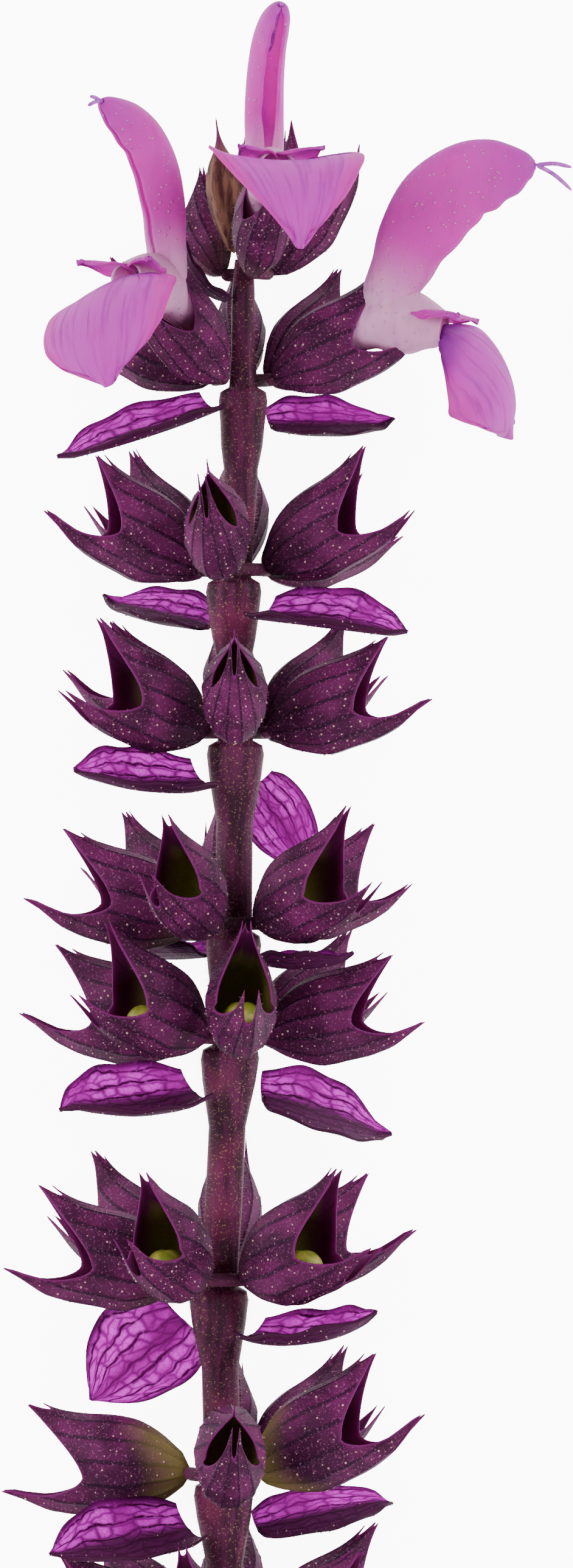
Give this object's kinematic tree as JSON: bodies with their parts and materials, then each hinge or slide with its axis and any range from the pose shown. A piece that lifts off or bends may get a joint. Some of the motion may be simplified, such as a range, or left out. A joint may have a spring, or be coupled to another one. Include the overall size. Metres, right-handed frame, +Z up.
{
  "type": "perennial salvia flower spike",
  "caption": "Cut flowering spike of a perennial salvia, lying down: dark ribbed calyces in whorls on a square stem, pink two-lipped flowers near the tip.",
  "frame": {"origin": "under the middle of the spike's bounding box, on the surface it lies on", "axes": "+Y along the stem towards the growing tip, +Z up away from the surface, +X to the right of someone who looks down on it with the tip pointing away"},
  "size_m": [0.0278, 0.0994, 0.0192],
  "materials": {
    "stem": "dark purple, softly hairy",
    "calyx": "dark purple with darker ribs and pale dots, satin",
    "bract": "thin violet leaf with dark veins, lets light through",
    "petal": "soft pink petal, matt, lets light through",
    "bud": "brown-purple, matt"
  },
  "bodies": {
    "root": {"apex_buds": "bud", "bract_0_left": "bract", "bract_1_left": "bract", "bract_1_right": "bract", "bract_2_left": "bract", "bract_2_right": "bract", "bract_3_left": "bract", "bract_3_right": "bract", "bract_4_left": "bract", "bract_4_right": "bract", "bract_5_left": "bract", "bract_5_right": "bract", "bract_6_left": "bract", "bract_6_right": "bract", "bract_7_left": "bract", "bract_7_right": "bract", "bract_8_left": "bract", "bract_8_right": "bract", "calyces_0_left": "calyx", "calyces_0_right": "calyx", "calyces_1_left": "calyx", "calyces_1_right": "calyx", "calyces_2_left": "calyx", "calyces_2_right": "calyx", "calyces_3_left": "calyx", "calyces_3_right": "calyx", "calyces_4_left": "calyx", "calyces_4_right": "calyx", "calyces_5_left": "calyx", "calyces_5_right": "calyx", "calyces_6_left": "calyx", "calyces_6_right": "calyx", "calyces_7_left": "calyx", "calyces_7_right": "calyx", "calyces_8_left": "calyx", "calyces_8_right": "calyx", "corolla_front": "petal", "corolla_left": "petal", "corolla_right": "petal", "stem": "stem"}
  },
  "joints": []
}
